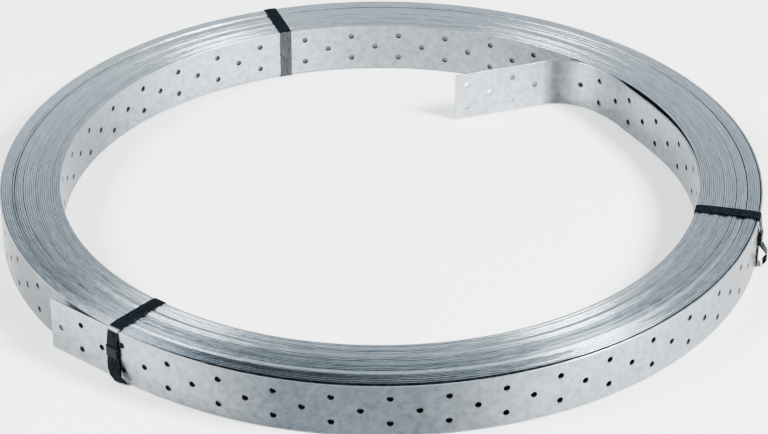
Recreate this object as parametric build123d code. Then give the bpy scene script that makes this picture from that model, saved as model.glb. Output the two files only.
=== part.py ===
from build123d import *
import os
from math import atan2, cos, degrees, radians, sin

# A coil of perforated steel band held by three straps, lying flat on the floor. Sizes in mm, angles in degrees.
# Angles run anticlockwise seen from above, from +X, about the coil's own upright axis.
# +X and +Y are the floor, and the free inner end of the band runs along X. +Z is up.

# the band
BAND_WIDTH = 40.0
BAND_THICKNESS = 1.5
HOLE_RADIUS = 2.5
HOLE_PITCH = 20.0
HOLE_ROW_OFFSET = 10.0
FIRST_HOLE_FROM_END = 10.0

# the wound pack: both walls are circles a little off centre, because the band is a spiral
INNER_RADIUS = 243.25
INNER_SHIFT = 0.7
INNER_SHIFT_ANGLE = 87.3
OUTER_SHIFT = 0.86
OUTER_SHIFT_ANGLE = -2.3
TURN_PITCH = 1.56
GROOVE_HALF_WIDTH = 0.25
GROOVE_DEPTH = 0.5

# how far each turn stands above the lowest one, from the bore outwards
TURN_LIFTS = (0.2, 0.5, 0.3, 0.6, 0.9, 0.7, 0.4, 0.5, 0.8, 1.0, 0.8, 0.5, 0.3, 0.4, 0.7,
              0.9, 1.1, 1.0, 0.6, 0.2, 0.3, 0.6, 1.0, 1.3, 1.2, 0.8, 0.5, 0.3, 0.1)

# the free outer end leaves the pack straight at the front strap, and the last turn bulges beyond it
OUTER_END_ANGLE = -148.5
OUTER_END_LENGTH = 62.2
OUTER_END_GAP_START = 13.5
LOOSE_START_ANGLE = -33.4
LOOSE_TURN = ((-50.0, 0.45), (-70.0, 1.8), (-90.0, 3.1), (-109.0, 3.5), (-125.0, 2.4), (-140.0, 0.5))

# the free inner end: it lies off the wall, touches it, bends into the bore and ends straight
INNER_LOOSE = ((-32.0, 0.0), (-17.0, 0.35), (-11.0, 1.0), (-5.0, 1.85), (5.0, 4.05), (13.6, 3.85),
               (19.2, 1.05), (25.0, 0.45))
INNER_GAP_FIRST = 2
INNER_GAP_LAST = 6
INNER_GAP_DEPTH = 1.0
BEND_ANGLE = 25.0
BEND_RADIUS = 39.0
BEND_CLEAR_ANGLE = 13.0
INNER_END_LENGTH = 77.1

# hole columns on the two walls
OUTER_FIRST_COLUMN = -143.0
OUTER_END_COLUMNS = 3
INNER_BACK_COLUMN = 86.15
INNER_SPREAD_FROM = -180.0

# the straps and their seals
STRAP_ANGLES = {"back": 90.1, "right": -33.4, "front": -148.5}
STRAP_WIDTH = 10.0
STRAP_THICKNESS = 0.7
STRAP_CORNER = 0.3
STRAP_FLOOR_CLEAR = 0.1
STRAP_TOP_CLEAR = 0.2
STRAP_INNER_CLEAR = 0.3
STRAP_OUTER_CLEAR = 1.0
SEAL_BOTTOM = 19.5
SEAL_HEIGHT = 8.0
SEAL_WALL = 0.7
SEAL_CLEAR = 0.05
SEAL_LIP = 3.6
SEAL_DENT_RADIUS = 0.9
SEAL_DENT_REACH = 0.45
SEAL_DENT_HEIGHTS = (2.2, 5.8)

# the strap's free tail: how far it stands off and how far below the seal, from its root to its tip
STRAP_TAIL_ABOVE_SEAL = 0.6
STRAP_TAIL_SHAPE = ((0.0, 0.5), (2.6, 4.0), (5.2, 8.5), (5.6, 12.5), (2.4, 18.0))

BAND_LIFT = STRAP_THICKNESS + STRAP_FLOOR_CLEAR
BAND_MIDDLE = BAND_LIFT + BAND_WIDTH / 2
BAND_TOP = BAND_LIFT + BAND_WIDTH
STRAP_TOP = BAND_TOP + max(TURN_LIFTS) + STRAP_TOP_CLEAR
OUTER_RADIUS = INNER_RADIUS + TURN_PITCH * (len(TURN_LIFTS) + 1)
FIRST_GROOVE_RADIUS = INNER_RADIUS + INNER_SHIFT + TURN_PITCH
LOWEST = -BAND_WIDTH
HIGHEST = BAND_TOP + BAND_WIDTH


def polar(radius, angle, height=0.0):
    """A point given by its distance and direction from the coil's axis."""
    return Vector(radius * cos(radians(angle)), radius * sin(radians(angle)), height)


def between(table, angle):
    """Read a table of (angle, value) pairs with straight lines between them."""
    pairs = sorted(table)
    if angle <= pairs[0][0]:
        return pairs[0][1]
    for (low, first), (high, second) in zip(pairs, pairs[1:]):
        if angle <= high:
            return first + (second - first) * (angle - low) / (high - low)
    return pairs[-1][1]


def loose_bulge(angle):
    """How far the outermost turn stands off the pack's outer circle."""
    ends = ((LOOSE_START_ANGLE, 0.0), (OUTER_END_ANGLE, 0.0))
    return between(LOOSE_TURN + ends, angle)


def outer_circle(angle):
    """Radius of the pack's outside where the last turn lies tight."""
    return OUTER_RADIUS + OUTER_SHIFT * cos(radians(angle - OUTER_SHIFT_ANGLE))


def inner_circle(angle):
    """Radius of the bore's wall where the first turn lies tight."""
    return INNER_RADIUS + INNER_SHIFT * cos(radians(angle - INNER_SHIFT_ANGLE))


LOOSE_OUTER_RADIUS = outer_circle(LOOSE_START_ANGLE)
LOOSE_INNER_RADIUS = inner_circle(INNER_LOOSE[0][0])


def outer_wall(angle):
    """Radius of the outside of the coil, for angles from the outer end to one turn on."""
    if angle <= LOOSE_START_ANGLE:
        return LOOSE_OUTER_RADIUS + loose_bulge(angle)
    return outer_circle(angle)


def inner_wall(angle):
    """Radius of the bore's wall, for angles from the start of the loose inner turn to one turn on."""
    if angle <= BEND_ANGLE:
        return LOOSE_INNER_RADIUS - between(INNER_LOOSE, angle)
    return inner_circle(angle)


def along_wall(angle, clockwise):
    """The direction along the wall at this angle."""
    turn = -90 if clockwise else 90
    return polar(1.0, angle + turn)


def outer_wire():
    """The coil's outside seen from above, with the free outer end."""
    start = polar(LOOSE_OUTER_RADIUS, LOOSE_START_ANGLE)
    leave = polar(LOOSE_OUTER_RADIUS, OUTER_END_ANGLE)
    way = along_wall(OUTER_END_ANGLE, True)
    inward = polar(-BAND_THICKNESS, OUTER_END_ANGLE)
    bulge = [polar(outer_wall(angle), angle) for angle, _ in LOOSE_TURN]
    tip = leave + way * OUTER_END_LENGTH
    crevice = leave + inward + way * OUTER_END_GAP_START
    gap_angle = degrees(atan2(crevice.Y, crevice.X))
    pack = polar(outer_circle(gap_angle), gap_angle)
    middle_angle = (gap_angle + LOOSE_START_ANGLE + 360) / 2
    middle = polar(outer_circle(middle_angle), middle_angle)
    tangents = (along_wall(LOOSE_START_ANGLE, True), way)
    return Wire([
        Spline(start, *bulge, leave, tangents=tangents),
        Line(leave, tip),
        Line(tip, tip + inward),
        Line(tip + inward, crevice),
        Line(crevice, pack),
        ThreePointArc(pack, middle, start),
    ])


def slot_wire(wall, radii_and_angles):
    """A crescent gap between a round wall and a loose turn."""
    points = [polar(radius, angle) for radius, angle in radii_and_angles]
    first, last = radii_and_angles[0][1], radii_and_angles[-1][1]
    ends = [polar(wall, first), polar(wall, last)]
    return Wire([
        Spline(*points),
        Line(points[-1], ends[1]),
        ThreePointArc(ends[1], polar(wall, (first + last) / 2), ends[0]),
        Line(ends[0], points[0]),
    ])


def outer_slot_wire():
    """The gap behind the loose outermost turn."""
    inside = [(outer_wall(angle) - BAND_THICKNESS, angle) for angle, _ in LOOSE_TURN]
    return slot_wire(LOOSE_OUTER_RADIUS - BAND_THICKNESS, inside)


def inner_slot_wire():
    """The gap behind the loose innermost turn."""
    chosen = INNER_LOOSE[INNER_GAP_FIRST:INNER_GAP_LAST + 1]
    outside = [(inner_wall(angle) + BAND_THICKNESS, angle) for angle, _ in chosen]
    return slot_wire(LOOSE_INNER_RADIUS + INNER_GAP_DEPTH, outside)


def bend_centre():
    """The centre of the bend that takes the inner end into the bore."""
    middle = inner_wall(BEND_ANGLE) + BAND_THICKNESS / 2
    return polar(middle - BEND_RADIUS, BEND_ANGLE)


def bore_wire():
    """The bore seen from above, with the free inner end standing in it."""
    centre = bend_centre()
    half = BAND_THICKNESS / 2
    near, far = BEND_RADIUS - half, BEND_RADIUS + half
    clear = BEND_ANGLE + BEND_CLEAR_ANGLE
    loose = [polar(inner_wall(angle), angle) for angle, _ in INNER_LOOSE]
    start_way = along_wall(INNER_LOOSE[0][0], False)
    end_way = along_wall(BEND_ANGLE, False)
    near_top, far_top = centre + Vector(0, near), centre + Vector(0, far)
    near_end, far_end = (top - Vector(INNER_END_LENGTH, 0) for top in (near_top, far_top))
    release = centre + polar(far, clear)
    release_angle = degrees(atan2(release.Y, release.X))
    wall = polar(inner_circle(release_angle), release_angle)
    middle_angle = (release_angle + INNER_LOOSE[0][0] + 360) / 2
    return Wire([
        Spline(*loose, tangents=(start_way, end_way)),
        ThreePointArc(loose[-1], centre + polar(near, (BEND_ANGLE + 90) / 2), near_top),
        Line(near_top, near_end),
        Line(near_end, far_end),
        Line(far_end, far_top),
        ThreePointArc(far_top, centre + polar(far, (clear + 90) / 2), release),
        Line(release, wall),
        ThreePointArc(wall, polar(inner_circle(middle_angle), middle_angle), loose[0]),
    ])


def end_profile(base, sign):
    """Radius and height of one end of the pack, with a groove between each pair of turns."""
    lifts = [base + lift for lift in TURN_LIFTS]
    bore = LOOSE_INNER_RADIUS
    points = [(0.0, base), (bore - BAND_THICKNESS, base), (bore, lifts[0])]
    for index, (before, after) in enumerate(zip(lifts, lifts[1:])):
        radius = FIRST_GROOVE_RADIUS + index * TURN_PITCH
        low = min(before, after) if sign > 0 else max(before, after)
        points += [(radius - GROOVE_HALF_WIDTH, before), (radius, low - sign * GROOVE_DEPTH),
                   (radius + GROOVE_HALF_WIDTH, after)]
    return points + [(LOOSE_OUTER_RADIUS * 2, lifts[-1])]


def end_cutter(base, sign):
    """What is turned off one end of the extruded outline."""
    limit = HIGHEST if sign > 0 else LOWEST
    points = end_profile(base, sign)
    corners = points + [(points[-1][0], limit), (0.0, limit)]
    outline = Wire.make_polygon([Vector(radius, 0, height) for radius, height in corners], close=True)
    return revolve(Face(outline), Axis.Z, 360)


def drill(mouth, inward):
    """A drill that goes one band thickness into the steel from its mouth."""
    start = mouth - inward * BAND_THICKNESS
    plane = Plane(origin=start, z_dir=inward)
    return plane * Cylinder(HOLE_RADIUS, BAND_THICKNESS * 2, align=(Align.CENTER, Align.CENTER, Align.MIN))


def column(mouth, inward, pair):
    """The drills of one column: two holes or one, at mid height."""
    offsets = (-HOLE_ROW_OFFSET, HOLE_ROW_OFFSET) if pair else (0.0,)
    return [drill(Vector(mouth.X, mouth.Y, BAND_MIDDLE + offset), inward) for offset in offsets]


def outer_drills():
    """The hole columns on the outside, from the front strap once round the coil."""
    step = degrees(HOLE_PITCH / OUTER_RADIUS)
    count = int((360 - (OUTER_FIRST_COLUMN - OUTER_END_ANGLE)) / step) - 1
    drills = []
    for index in range(count):
        angle = OUTER_FIRST_COLUMN + index * step
        drills += column(polar(outer_wall(angle), angle), polar(-1.0, angle), index % 2 == 1)
    return drills


def outer_end_drills():
    """The hole columns through the free outer end, counted from its tip."""
    tip = polar(LOOSE_OUTER_RADIUS, OUTER_END_ANGLE) + along_wall(OUTER_END_ANGLE, True) * OUTER_END_LENGTH
    drills = []
    for index in range(OUTER_END_COLUMNS):
        back = FIRST_HOLE_FROM_END + index * HOLE_PITCH
        mouth = tip - along_wall(OUTER_END_ANGLE, True) * back
        drills += column(mouth, polar(-1.0, OUTER_END_ANGLE), index % 2 == 1)
    return drills


def inner_end_drills():
    """The hole columns from the inner end's tip to where it starts to lie loose on the wall."""
    centre = bend_centre()
    near = BEND_RADIUS - BAND_THICKNESS / 2
    straight = INNER_END_LENGTH
    bend = radians(90 - BEND_ANGLE) * BEND_RADIUS
    loose = radians(BEND_ANGLE - INNER_LOOSE[0][0]) * LOOSE_INNER_RADIUS
    drills, run, index = [], FIRST_HOLE_FROM_END, 0
    while run < straight + bend + loose:
        if run <= straight:
            mouth, inward = centre + Vector(run - straight, near), Vector(0, 1, 0)
        elif run <= straight + bend:
            angle = 90 - degrees((run - straight) / BEND_RADIUS)
            mouth, inward = centre + polar(near, angle), polar(1.0, angle)
        else:
            angle = BEND_ANGLE - degrees((run - straight - bend) / LOOSE_INNER_RADIUS)
            mouth, inward = polar(inner_wall(angle), angle), polar(1.0, angle)
        drills += column(mouth, inward, index % 2 == 0)
        run += HOLE_PITCH
        index += 1
    return drills, angle, index


def inner_wall_drills(last_angle, last_index):
    """The hole columns on the rest of the bore's wall, going clockwise from the loose turn to the bend."""
    step = degrees(HOLE_PITCH / INNER_RADIUS)
    back = INNER_BACK_COLUMN
    drills, index = [], 0
    while back + index * step > BEND_ANGLE + step + BEND_CLEAR_ANGLE / 2:
        angle = back + index * step
        drills += column(polar(inner_wall(angle), angle), polar(1.0, angle), index % 2 == 0)
        index -= 1
    index = 1
    while back + index * step < INNER_SPREAD_FROM + 360 + step / 2:
        angle = back + index * step
        drills += column(polar(inner_wall(angle), angle), polar(1.0, angle), index % 2 == 0)
        index += 1
    first = back + (index - 1) * step
    last = last_angle + 360 - step
    spaces = round((last + step - first) / step)
    spaces += (spaces + (index - 1) - last_index) % 2
    for number in range(1, spaces):
        angle = first + (last + step - first) * number / spaces
        drills += column(polar(inner_wall(angle), angle), polar(1.0, angle), (index - 1 + number) % 2 == 0)
    return drills


def make_band():
    """The wound band: one turned solid with both free ends and the holes."""
    outline = Face(outer_wire(), [bore_wire(), outer_slot_wire(), inner_slot_wire()])
    body = extrude(Pos(0, 0, LOWEST / 2) * outline, amount=(HIGHEST - LOWEST) * 3 / 4, dir=(0, 0, 1))
    body = body - end_cutter(BAND_TOP, 1) - end_cutter(BAND_LIFT, -1)
    end_drills, angle, index = inner_end_drills()
    drills = outer_drills() + outer_end_drills() + end_drills + inner_wall_drills(angle, index)
    return body - drills


def strap_profile_face(angle):
    """The strap's closed run round the band and its free tail, as radius and height."""
    turned = angle if angle >= INNER_LOOSE[0][0] else angle + 360
    inside = inner_wall(turned) - STRAP_INNER_CLEAR
    outside = outer_wall(angle) + STRAP_OUTER_CLEAR
    inner = Pos((inside + outside) / 2, (STRAP_THICKNESS + STRAP_TOP) / 2) * RectangleRounded(
        outside - inside, STRAP_TOP - STRAP_THICKNESS, STRAP_CORNER)
    outer = offset(inner, amount=STRAP_THICKNESS, kind=Kind.ARC)
    face = outside + STRAP_THICKNESS
    path = [Vector(face + out, SEAL_BOTTOM - drop) for out, drop in STRAP_TAIL_SHAPE]
    near = [Vector(face, SEAL_BOTTOM + SEAL_HEIGHT + STRAP_TAIL_ABOVE_SEAL)] + path
    far = [point + Vector(STRAP_THICKNESS, 0) for point in near]
    tail_wire = Wire([
        Line(near[0], near[1]), Spline(*near[1:], tangents=((0, -1, 0), (-1, -1, 0))),
        Line(near[-1], far[-1]), Spline(*far[1:], tangents=((0, -1, 0), (-1, -1, 0))),
        Line(far[0], far[1]), Line(far[0], near[0]),
    ])
    return outer - inner + Face(tail_wire)


def stand_up(flat, angle, width):
    """Turn a radius and height face upright, give it a width and carry it to its angle."""
    solid = extrude(flat, amount=width / 2, both=True)
    return Rot(0, 0, angle) * Rot(90, 0, 0) * solid


def make_strap(angle):
    """One flat strap round the coil's section with its free tail."""
    return stand_up(strap_profile_face(angle), angle, STRAP_WIDTH)


def make_seal(angle):
    """A folded sleeve that clamps the strap's two layers."""
    inside = outer_wall(angle) + STRAP_OUTER_CLEAR - SEAL_CLEAR
    depth = STRAP_THICKNESS * 2 + SEAL_CLEAR * 2
    width = STRAP_WIDTH + SEAL_CLEAR * 2
    low = (Align.MIN, Align.CENTER, Align.MIN)
    sleeve = Pos(inside - SEAL_WALL, 0, 0) * Box(depth + SEAL_WALL * 2, width + SEAL_WALL * 2, SEAL_HEIGHT, align=low)
    sleeve -= Pos(inside, 0, 0) * Box(depth, width, SEAL_HEIGHT, align=low)
    sleeve -= Pos(inside - SEAL_WALL, 0, 0) * Box(SEAL_WALL, width - SEAL_LIP * 2, SEAL_HEIGHT, align=low)
    side = width / 2 + SEAL_WALL - SEAL_DENT_REACH + SEAL_DENT_RADIUS
    for height in SEAL_DENT_HEIGHTS:
        for sign in (-1, 1):
            dent = Rot(0, 90, 0) * Cylinder(SEAL_DENT_RADIUS, (depth + SEAL_WALL) * 4)
            sleeve -= Pos(inside, sign * side, height) * dent
    return Rot(0, 0, angle) * Pos(0, 0, SEAL_BOTTOM) * sleeve


def main():
    """Build every piece, put the origin under the middle of them all and write them."""
    pieces = {"steel_band": make_band()}
    for name, angle in STRAP_ANGLES.items():
        pieces["strap_" + name] = make_strap(angle)
        pieces["seal_" + name] = make_seal(angle)
    box = Compound(children=[Compound(piece.solids()) for piece in pieces.values()]).bounding_box()
    shift = Vector(-(box.min.X + box.max.X) / 2, -(box.min.Y + box.max.Y) / 2, 0)
    os.makedirs("parts", exist_ok=True)
    for name, piece in pieces.items():
        moved = Pos(shift) * piece
        moved.label = name
        export_step(moved, os.path.join("parts", name + ".step"))


main()
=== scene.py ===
import math
import random
from collections import namedtuple

import bmesh
import bpy
import numpy as np
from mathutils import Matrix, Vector


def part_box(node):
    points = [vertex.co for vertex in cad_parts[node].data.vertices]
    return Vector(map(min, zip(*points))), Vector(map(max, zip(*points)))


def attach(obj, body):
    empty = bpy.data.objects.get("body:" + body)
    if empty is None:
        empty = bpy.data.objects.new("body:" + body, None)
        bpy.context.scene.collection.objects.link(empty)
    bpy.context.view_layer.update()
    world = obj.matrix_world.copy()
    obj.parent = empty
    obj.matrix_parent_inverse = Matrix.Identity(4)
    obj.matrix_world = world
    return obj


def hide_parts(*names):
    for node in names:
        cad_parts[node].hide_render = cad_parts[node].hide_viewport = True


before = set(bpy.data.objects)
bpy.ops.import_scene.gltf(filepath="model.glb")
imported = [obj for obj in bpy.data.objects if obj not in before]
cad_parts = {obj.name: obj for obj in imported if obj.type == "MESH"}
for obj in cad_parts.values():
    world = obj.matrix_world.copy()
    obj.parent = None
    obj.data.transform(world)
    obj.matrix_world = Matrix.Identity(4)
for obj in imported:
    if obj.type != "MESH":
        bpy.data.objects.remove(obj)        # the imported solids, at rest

bl_info = {
    "name": "Perforated Steel Coil",
    "version": (1, 0, 0),
    "blender": (4, 5, 0),
    "location": "3D View > Sidebar > Coil",
    "description": "A coil of perforated steel band with its straps and seals, wound turn by turn",
    "category": "Object",
}

# Sizes are in metres where nothing else is said. Angles are in degrees about the coil's own upright axis,
# anticlockwise seen from above, as the band runs from its outer tip inwards to its inner tip.
ROOT_BODY = "root"
MM = 0.001
AXIS_X = -0.00085933
AXIS_Y = -0.00211017

# the wound pack: its turns and radii, where its loose turns and free ends start and stop, the loose turns'
# bulges as (angle, millimetres), and the free ends' straight lengths
WHOLE_TURNS = 29
OUTER_RADIUS = 0.290786
INNER_RADIUS = 0.24291
INNER_TIGHT_END = -32.0
LOOSE_TURN_END = -33.4
OUTER_LEAVE = -148.5
OUTER_STRAIGHT = 0.0622
LOOSE_TURN = ((-148.5, 0.0), (-140.0, 0.5), (-125.0, 2.4), (-109.0, 3.5), (-90.0, 3.05), (-70.0, 1.8),
              (-50.0, 0.45), (-33.4, 0.0))
INNER_LOOSE = ((-32.0, 0.0), (-17.0, 0.35), (-11.0, 1.0), (-5.0, 1.85), (5.0, 4.05), (13.6, 3.85),
               (19.2, 1.05), (25.0, 0.45))
BEND_ANGLE = 25.0
BEND_END = 90.0
BEND_RADIUS = 0.039
INNER_STRAIGHT = 0.0771
INNER_END_TURN = -1.0

# gaps between turns that are wider than the rest, as (turns from the bore, millimetres)
WIDE_GAPS = ((4.3, 0.12), (11.6, 0.18), (17.7, 0.35), (22.4, 0.5), (28.7, 0.7))
WIDE_GAP_RUN = 0.3

# how far the turns stand above the lowest one, in millimetres, from the bore outwards, and how that wanders
TURN_LIFTS = (0.2, 0.5, 0.3, 0.6, 0.9, 0.7, 0.4, 0.5, 0.8, 1.0, 0.8, 0.5, 0.3, 0.4, 0.7,
              0.9, 1.1, 1.0, 0.6, 0.2, 0.3, 0.6, 1.0, 1.3, 1.2, 0.8, 0.5, 0.3, 0.1)
LIFT_FROM = -0.4
LIFT_LIMIT = 0.95
LIFT_WANDER = 0.16
LIFT_SEED = 11
KNOTS_PER_TURN = 3
KNOT_MARGIN = 0.1

# how far the cut edges lean towards the bore, as (turns from the bore, rise across the thickness), and how
# that wanders
EDGE_LEAN = ((0.0, 0.10), (2.0, 0.09), (5.6, 0.12), (8.5, 0.14), (10.5, 0.07), (12.5, 0.17),
             (15.0, 0.22), (18.0, 0.22), (20.3, 0.16), (21.8, 0.0), (23.0, 0.20), (25.6, 0.24),
             (28.0, 0.24), (29.4, 0.22))
LEAN_WANDER = 0.05
LEAN_SEED = 23

# how much the lean of the outer turns changes, by angle round the coil, and from which turn on it does
LEAN_SWING = ((-180.0, 0.0), (-110.0, 0.0), (-95.0, -0.03), (-80.0, -0.18), (-55.0, -0.1), (-30.0, 0.0),
              (180.0, 0.0))
SWING_FROM = 20.0
SWING_FULL = 23.0

# the holes: their size and spacing, one column's angle at the bore's back, the angles where the bore's
# columns start and where they are spread evenly, and how far the outer ones go on under the last turn
HOLE_RADIUS = 0.0025
HOLE_PITCH = 0.020
HOLE_ROW_OFFSET = 0.010
BACK_COLUMN = 86.15
SPREAD_FROM = -180.0
WALL_COLUMNS_START = -341.0
OUTER_COVERED = 12.0

# how finely the band is divided: the degrees between its plain turns' rings and between its path's points,
# and the grid round its holes, each in a square that reaches this many steps to each side
PLAIN_STEP = 2.25
PATH_STEP = 0.25
HOLE_GRID = 0.0025
SQUARE = 2
HOLE_SIDES = 8 * SQUARE

# a little over, so that a turn's last ring and a rounded edge's own corners count
ANGLE_MARGIN = 0.001
EDGE_MARGIN = 1.01

# corners sharper than this stay sharp when the pieces are shaded
SHARP_ANGLE = 50.0

# painted shade on the zinc, from 0 to 1, in broad patches that stand in for where its faces lay in shade:
# by the metres from the outer tip, by those from the inner tip, and inside the coil at its outer and its
# inner end, where the covered turns' painted shade darkens what shows through the holes
OUTSIDE_PAINTED_SHADE = ((0.0, 0.4), (0.1, 0.45), (0.17, 0.9), (0.32, 0.9), (0.4, 0.42), (0.5, 0.42), (0.62, 0.85),
                  (0.8, 0.6), (1.6, 0.5), (1.68, 0.42), (1.75, 0.9), (1.8, 0.8))
INSIDE_PAINTED_SHADE = ((0.0, 0.0), (0.076, 0.0), (0.083, 0.75), (0.099, 0.75), (0.11, 0.3), (0.13, 0.6),
                 (0.2, 0.6), (1.0, 0.7), (1.15, 0.75), (1.22, 0.45), (1.3, 0.0), (1.35, 0.0),
                 (1.45, 0.6), (1.6, 0.6), (1.73, 0.75))
COVERED_PAINTED_SHADE = (0.52, 1.0)

# painted shade on the cut edges, standing in for the rim's dark bands of shade and reflection, as pairs of
# tables: by turns from the bore, and by angle round the coil
EDGE_PAINTED_SHADE = (
    (((10.0, 0.0), (13.0, 0.3), (18.0, 0.3), (20.5, 0.0), (22.5, 1.0), (29.5, 1.0)),
     ((-150.0, 0.0), (-140.0, 0.4), (-120.0, 0.55), (-100.0, 0.1), (-90.0, 0.0))),
    (((19.5, 0.0), (21.5, 1.0), (23.0, 1.0), (24.5, 0.0)),
     ((-180.0, 0.3), (-160.0, 0.45), (-140.0, 0.0), (150.0, 0.0), (180.0, 0.3))),
)

# how far the turns under the loose outermost one follow its bulge, from the outside inwards
BULGE_SHARES = (1.0, 0.46, 0.36, 0.27, 0.19, 0.12, 0.06, 0.0)

# each strap's angle, how far its tail drifts along the wall, how far it twists and how far it stands off,
# and how much lighter bare steel shows at its outer top bend (wear and a painted glint), on the layer under
# its tail (a painted lit face) and along its run in the bore
StrapPlace = namedtuple("StrapPlace", "angle drift twist stand_off bend_rubbed under_rubbed bore_rubbed")
STRAPS = {
    "back": StrapPlace(90.1, -0.0015, 6.0, 1.0, 0.0, 0.0, 0.42),
    "right": StrapPlace(-33.4, 0.001, -8.0, 1.0, 0.3, 0.0, 0.0),
    "front": StrapPlace(-148.5, 0.0076, -12.0, 0.5, 0.9, 0.42, 0.0),
}

# the straps' bends, the reach of the wear and painted glint at the outer top bend, clearances, steps and
# rubbed-down edges, and how far their hidden end goes past the seal
STRAP_CORNER = 0.0011
STRAP_CORNER_STEPS = 7
STRAP_CORNER_SHARE = 0.45
STRAP_SLACK_ANGLE = 8.0
STRAP_BEND_GLINT_REACH = 0.0035
STRAP_CLEAR = 0.00012
STRAP_FLAT_STEP = 0.004
STRAP_TOP_STEP = 0.001
STRAP_TOP_SOFTNESS = 5
STRAP_EDGE_SHARE = 0.22
HIDDEN_END = 0.0015

# each free tail, below the seal, as (millimetres out, millimetres down), how its drift grows, and how
# finely it is divided
TAIL = ((0.0, 0.5), (2.5, 4.0), (5.0, 8.5), (5.2, 12.5), (2.4, 17.8))
TAIL_DRIFT_POWER = 1.3
TAIL_POINTS = 28

# the seals, and the crimps that pinch them and the straps' outer layers
SEAL_STAND_OFF = 0.001
SEAL_BOTTOM = 0.0195
SEAL_CLEAR = 0.00005
SEAL_WALL = 0.0007
SEAL_LEVELS = 22
SEAL_CORNERS = (1.2, 0.4)
SEAL_CORNER_STEPS = 3
SEAL_SIDE_PARTS = (0.8, 0.6, 0.4, 0.0, -0.4, -0.6, -0.8)
CRIMP_HEIGHTS = (0.0022, 0.0058)
CRIMP_DEPTH = 0.0009
CRIMP_REACH = 0.0009
CRIMP_FROM = 0.0032
CRIMPED_WALL = 0.01

# each finish's grain: how it is stretched, how fine it is, its detail and its roughness, and then how fine
# the zinc's flakes are and how much they show
Grain = namedtuple("Grain", "stretch scale detail rough")
SPANGLE = Grain((1.0, 1.0, 1.0), 160.0, 3.0, 0.6)
BAND_LINES = Grain((0.06, 1.0, 1.0), 900.0, 2.0, 0.7)
TORN_STEEL = Grain((1.0, 1.0, 1.0), 1500.0, 3.0, 0.6)
STRAP_SCUFFS = Grain((1.0, 1.0, 0.25), 700.0, 4.0, 0.65)
STRAP_PATCHES = Grain((1.0, 1.0, 1.0), 120.0, 3.0, 0.6)
SEAL_SCRATCHES = Grain((1.0, 1.0, 0.1), 1200.0, 4.0, 0.7)
FLOOR_CLOUD = Grain((1.0, 1.0, 1.0), 1.5, 2.0, 0.5)
FLAKE_SCALE = 260.0
FLAKE_SHARE = 0.22

# the part of each grain over which its darker colour turns into its lighter one, and smooth into rough
ZINC_TONES = (0.34, 0.68)
EDGE_TONES = (0.3, 0.75)
HOLE_TONES = (0.3, 0.8)
STRAP_TONES = (0.45, 0.75)
SEAL_TONES = (0.35, 0.8)
FLOOR_TONES = (0.2, 0.8)
ROUGHNESS_TONES = (0.3, 0.7)

# a value's whole span, and the colour that changes nothing where it multiplies
WHOLE = (0.0, 1.0)
WHITE = (1.0, 1.0, 1.0)

# how far below the band's edge its finish starts and is full, and how unevenly rubbed lacquer, and the
# painted glint and lit face on the straps, turn bare
EDGE_FINISH = (0.0006, 0.0002)
RUB_UNEVENNESS = 0.35
RUB_TONES = (0.35, 0.8)

# roughness, at both ends where it varies, and how metallic and glossy the finishes are
FACE_ROUGHNESS = (0.26, 0.42)
EDGE_ROUGHNESS = (0.2, 0.32)
STRAP_ROUGHNESS = (0.34, 0.5)
SEAL_ROUGHNESS = (0.3, 0.5)
HOLE_ROUGHNESS = 0.6
FLOOR_ROUGHNESS = 0.85
HOLE_METALLIC = 0.8
STRAP_GLOSS = 0.02
SEAL_GLOSS = 0.05
FLOOR_GLOSS = 0.2

# each finish's bumps: their strength and their height
BAND_BUMPS = (0.08, 0.00004)
HOLE_BUMPS = (0.3, 0.00005)
STRAP_BUMPS = (0.15, 0.00005)
SEAL_BUMPS = (0.2, 0.00004)

# the camera, from where the photograph was taken
CAMERA_TURN = -109.0
CAMERA_ELEVATION = 30.246
CAMERA_DISTANCE = 2.01587
CAMERA_TARGET_HEIGHT = 0.020
CAMERA_LENS = 122.77
CAMERA_SENSOR = 36.0
CAMERA_SHIFT = (0.0047, -0.0322)

# the floor: half its width, and how much of its colour it keeps where it is darkest
FLOOR_HALF = 12.0
FLOOR_SHADE = 0.985

# the studio's walls: their colours from the right round to the dark side, and from low down to high up
WALLS_RIGHT = (0.55, 0.60, 0.63)
WALLS_BACK = (0.36, 0.39, 0.41)
WALLS_FRONT = (0.015, 0.0175, 0.02)
WALLS_TURNS = (0.03, 0.25, 0.85)
WALLS_DARK_SIDE = -149.0
WALLS_STRENGTH = 3.0
WALLS_LOW = (0.04, 0.043, 0.047)
WALLS_MIDDLE = (0.62, 0.62, 0.62)
WALLS_HIGH = WHITE
WALLS_HEIGHTS = (0.24, 0.42, 0.80)

# the studio's lamps: each one's direction, height angle, distance, size and power in watts
Lamp = namedtuple("Lamp", "turn height distance size power")
LAMPS = {
    "right_lamp": Lamp(-38.0, 44.0, 2.4, 0.7, 260.0),
    "left_lamp": Lamp(177.0, 44.0, 2.4, 0.8, 145.0),
    "right_low_lamp": Lamp(-50.0, 6.0, 2.4, 0.8, 60.0),
    "left_low_lamp": Lamp(172.0, 6.0, 2.4, 0.8, 60.0),
}


def smooth_through(knots, places):
    """Read a table of (place, value) knots along a smooth line that is level at and beyond its ends."""
    where, values = np.array(knots, float).T
    slopes = np.gradient(values, where)
    slopes[0] = slopes[-1] = 0.0
    places = np.clip(places, where[0], where[-1])
    index = np.clip(np.searchsorted(where, places, side="right") - 1, 0, len(where) - 2)
    span = where[index + 1] - where[index]
    part = (places - where[index]) / span
    rest = 1 - part
    return (values[index] * (1 + 2 * part) * rest ** 2 + values[index + 1] * (3 - 2 * part) * part ** 2
            + span * part * rest * (slopes[index] * rest - slopes[index + 1] * part))


def polar(radius, angle):
    """A point seen from above, by its distance and direction from the coil's axis."""
    return np.array([radius * np.cos(np.radians(angle)), radius * np.sin(np.radians(angle))])


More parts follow.
